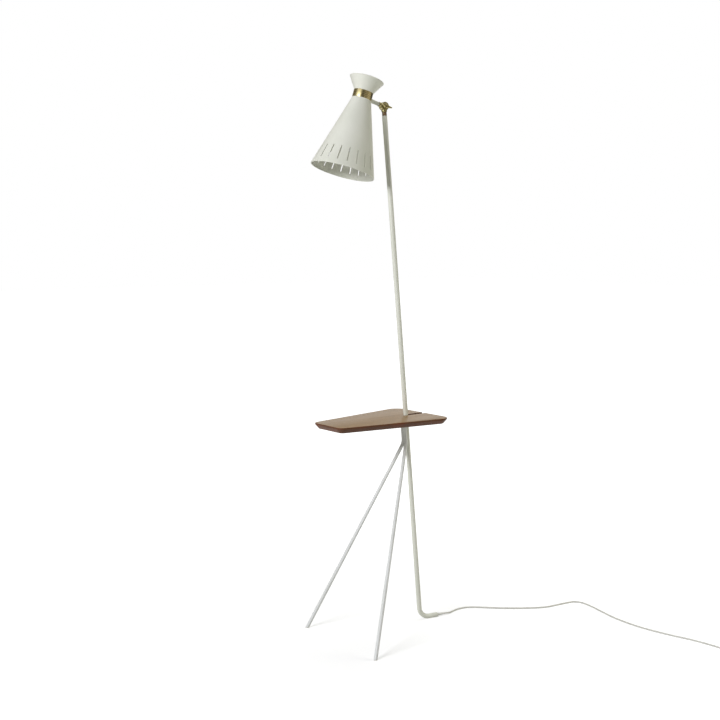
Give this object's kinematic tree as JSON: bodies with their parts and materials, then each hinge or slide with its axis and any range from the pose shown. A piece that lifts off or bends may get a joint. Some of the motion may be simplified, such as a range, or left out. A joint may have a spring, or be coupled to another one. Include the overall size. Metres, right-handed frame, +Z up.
{
  "type": "floor lamp with table",
  "caption": "Leaning pole floor lamp on two splayed rod legs and the pole's bent toe, with a tapered wooden table and a slotted cone shade on a brass tilting knuckle.",
  "frame": {"origin": "on the floor, at the middle of the lamp's own box without its cord", "axes": "+Z up; the shade and the two front legs point to -Y; +X is the side of the wing screw; the cord leaves at +Y"},
  "size_m": [0.8889, 0.8658, 1.4398],
  "materials": {
    "paint": "satin off-white powder coat",
    "brass": "brushed and lacquered",
    "bronze": "dark patinated",
    "walnut": "matt lacquered veneer with dark edges",
    "steel": "zinc plated",
    "plastic": "moulded white",
    "glass": "inside-frosted",
    "cord": "smooth white sheath"
  },
  "bodies": {
    "base": {"lower_pole": "paint", "upper_pole": "paint", "leg_left": "paint", "leg_right": "paint", "table_plate": "paint", "swivel_nipple": "brass", "pole_ferrule": "bronze", "tabletop": "walnut", "pole_joiner": "steel", "table_screw_1": "steel", "table_screw_2": "steel", "table_screw_3": "steel", "table_screw_4": "steel", "plug_pin_1": "steel", "plug_pin_2": "steel", "glide_left": "plastic", "glide_right": "plastic", "cord_grommet": "plastic", "plug_body": "plastic", "cord": "cord", "cord_coil": "cord"},
    "swivel": {"lower_knuckle": "brass"},
    "head": {"upper_knuckle": "brass", "wing_washer": "brass", "arm": "paint", "arm_nipple": "steel", "arm_nut": "steel", "ring": "brass", "shade_cone": "paint", "shade_flare": "paint", "bridge": "paint", "holder_nipple": "steel", "holder_nut": "steel", "holder_cap": "plastic", "lamp_holder": "plastic", "bulb_cap": "brass", "bulb_glass": "glass"},
    "wing": {"wing_screw": "brass"}
  },
  "joints": [
    {"name": "head_turn", "type": "hinge", "parent": "base", "child": "swivel", "pos_m": [0, -0.00564, 1.365], "axis": [0, -0.0976, 0.9952], "range_deg": [-160, 160]},
    {"name": "head_tilt", "type": "hinge", "parent": "swivel", "child": "head", "pos_m": [0, -0.00564, 1.365], "axis": [0.9863, -0.1643, -0.0161], "range_deg": [-90, 8]},
    {"name": "wing_turn", "type": "hinge", "parent": "swivel", "child": "wing", "pos_m": [0, -0.00564, 1.365], "axis": [0.9863, -0.1643, -0.0161], "range_deg": [-180, 180]}
  ]
}
